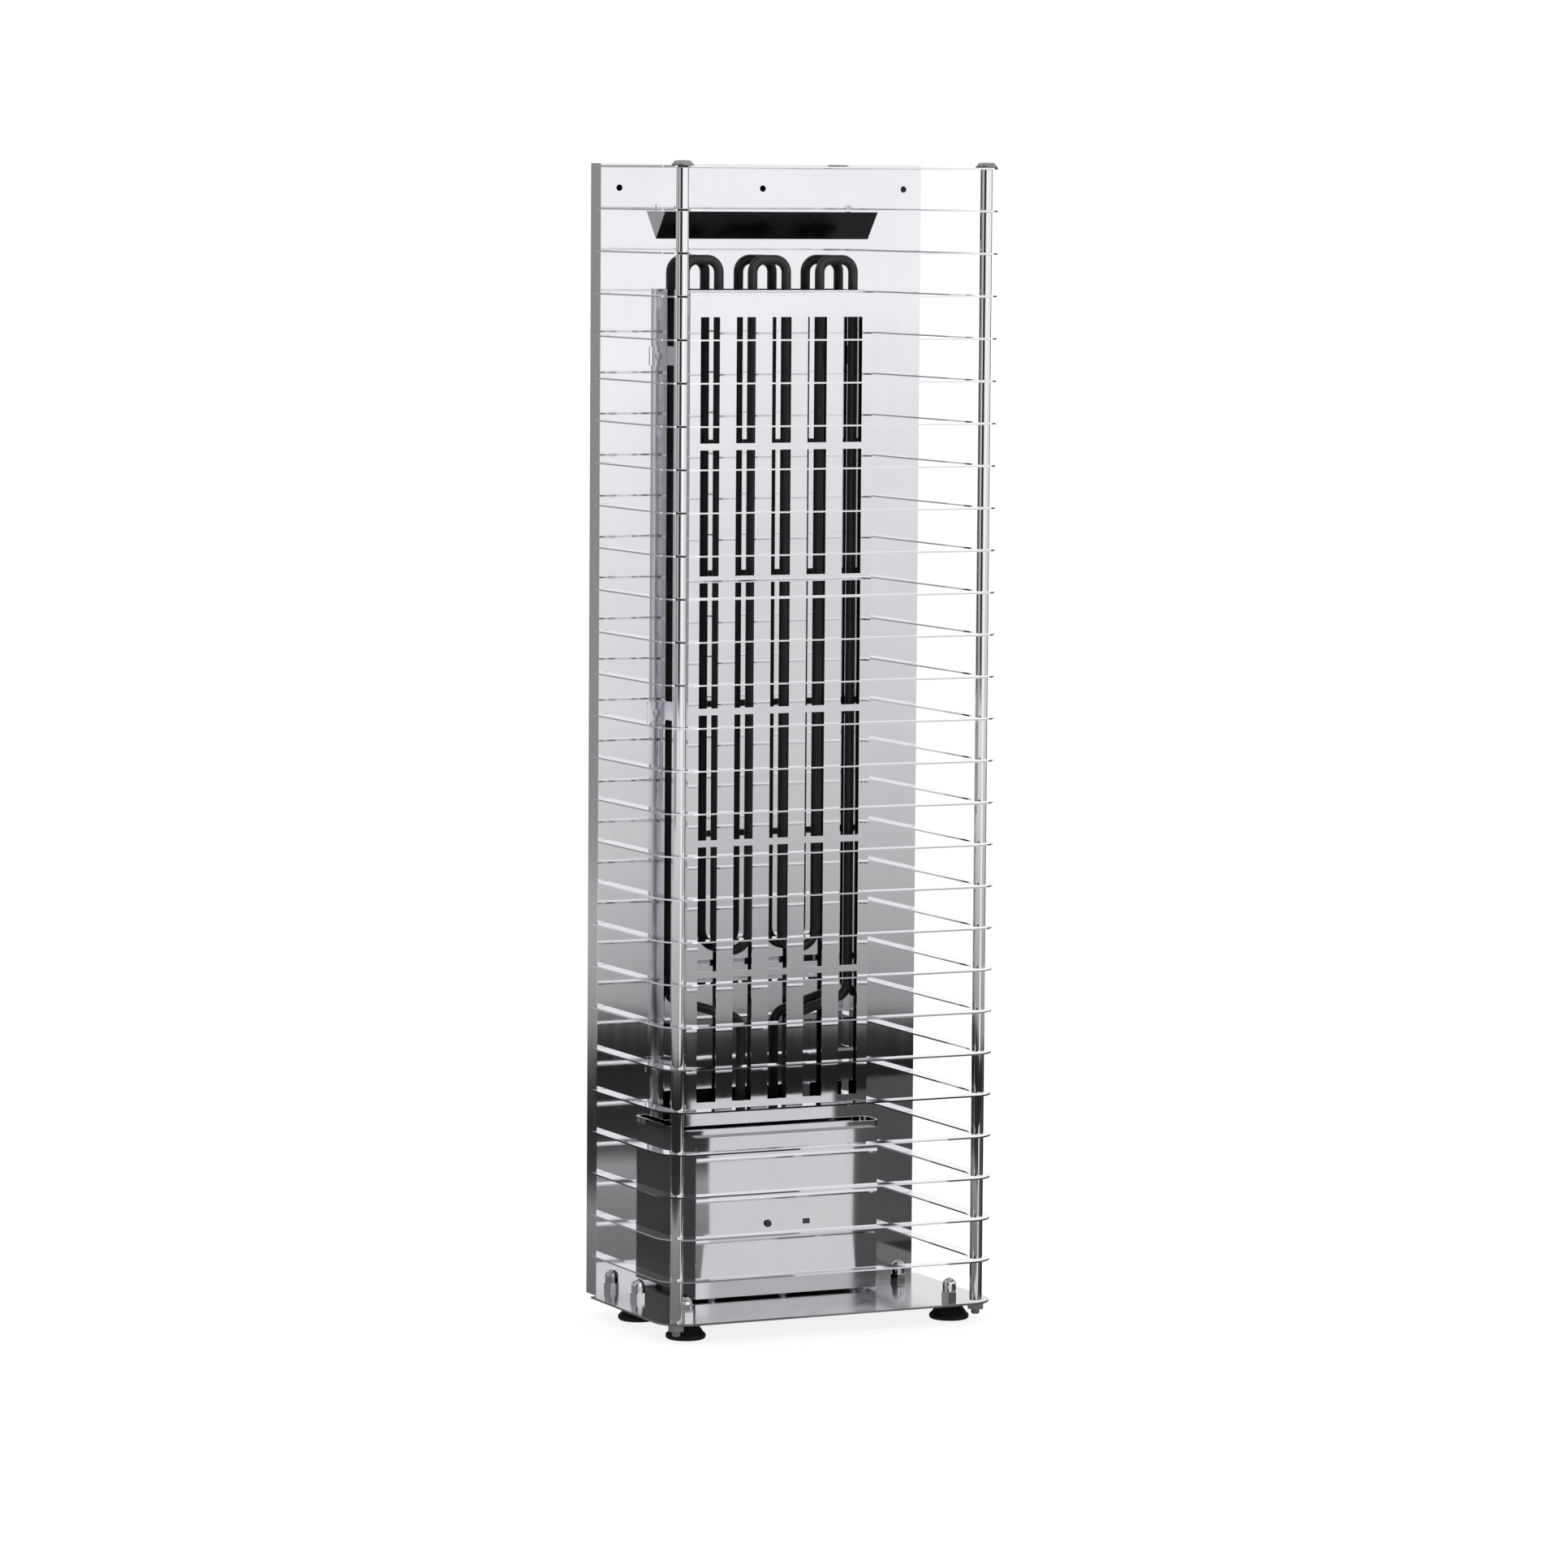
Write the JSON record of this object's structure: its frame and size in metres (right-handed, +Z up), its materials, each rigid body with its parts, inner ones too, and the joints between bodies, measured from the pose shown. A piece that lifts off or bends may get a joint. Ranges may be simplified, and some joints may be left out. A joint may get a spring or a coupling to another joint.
{
  "type": "electric sauna heater",
  "caption": "Tower heater with a stone cage of flat rounded hoops on front posts, slotted guard over a tubular element, connection box and levelling feet.",
  "frame": {"origin": "on the floor, in the middle of the footprint", "axes": "+X to the right seen from the front, +Y to the back, towards the wall, +Z up"},
  "size_m": [0.349, 0.201, 1.105],
  "materials": {
    "polished_steel": "mirror-polished stainless sheet",
    "bright_tube": "bright-drawn polished stainless",
    "fastener_steel": "plain stainless fasteners and threaded rod",
    "satin_steel": "satin stainless sheet",
    "element_sheath": "dark oxidised heat-resistant sheath",
    "terminal_ceramic": "plain steatite",
    "limiter_plastic": "moulded heat-resistant plastic",
    "button_plastic": "moulded plastic",
    "lens_plastic": "dark tinted lens",
    "gland_plastic": "moulded nylon",
    "foot_rubber": "moulded black rubber"
  },
  "bodies": {
    "frame": {"rear_casing": "satin_steel", "back_panel": "polished_steel", "base_plate": "polished_steel", "hoop_01": "polished_steel", "hoop_02": "polished_steel", "hoop_03": "polished_steel", "hoop_04": "polished_steel", "hoop_05": "polished_steel", "hoop_06": "polished_steel", "hoop_07": "polished_steel", "hoop_08": "polished_steel", "hoop_09": "polished_steel", "hoop_10": "polished_steel", "hoop_11": "polished_steel", "hoop_12": "polished_steel", "hoop_13": "polished_steel", "hoop_14": "polished_steel", "hoop_15": "polished_steel", "hoop_16": "polished_steel", "hoop_17": "polished_steel", "hoop_18": "polished_steel", "hoop_19": "polished_steel", "hoop_20": "polished_steel", "hoop_21": "polished_steel", "hoop_22": "polished_steel", "hoop_23": "polished_steel", "hoop_24": "polished_steel", "hoop_25": "polished_steel", "hoop_26": "polished_steel", "hoop_27": "polished_steel", "post_rods": "fastener_steel", "spacer_tubes": "bright_tube", "post_cap_nuts": "bright_tube", "post_bottom_nuts": "fastener_steel", "element_guard": "polished_steel", "guard_screws": "fastener_steel", "deflector": "polished_steel", "deflector_screws": "fastener_steel", "heating_element": "element_sheath", "element_bushings": "fastener_steel", "stone_tray": "polished_steel", "connection_box": "satin_steel", "box_cover": "polished_steel", "cover_screws": "fastener_steel", "terminal_block": "terminal_ceramic", "overheat_limiter": "limiter_plastic", "indicator_lens": "lens_plastic", "cable_gland": "gland_plastic", "foot_cap_nuts": "bright_tube"},
    "foot_front_left": {"foot_pad_front_left": "foot_rubber", "foot_stud_front_left": "fastener_steel"},
    "foot_front_right": {"foot_pad_front_right": "foot_rubber", "foot_stud_front_right": "fastener_steel"},
    "foot_rear_left": {"foot_pad_rear_left": "foot_rubber", "foot_stud_rear_left": "fastener_steel"},
    "foot_rear_right": {"foot_pad_rear_right": "foot_rubber", "foot_stud_rear_right": "fastener_steel"},
    "reset_button": {"reset_button": "button_plastic"}
  },
  "joints": [
    {"name": "foot_front_left_height", "type": "slide", "parent": "frame", "child": "foot_front_left", "axis": [0, 0, -1], "range_m": [0, 0.01]},
    {"name": "foot_front_right_height", "type": "slide", "parent": "frame", "child": "foot_front_right", "axis": [0, 0, -1], "range_m": [0, 0.01]},
    {"name": "foot_rear_left_height", "type": "slide", "parent": "frame", "child": "foot_rear_left", "axis": [0, 0, -1], "range_m": [0, 0.01]},
    {"name": "foot_rear_right_height", "type": "slide", "parent": "frame", "child": "foot_rear_right", "axis": [0, 0, -1], "range_m": [0, 0.01]},
    {"name": "reset_press", "type": "slide", "parent": "frame", "child": "reset_button", "axis": [0, 1, 0], "range_m": [0, 0.002], "stiffness_N_per_m": 600, "springref_m": -0.001}
  ]
}
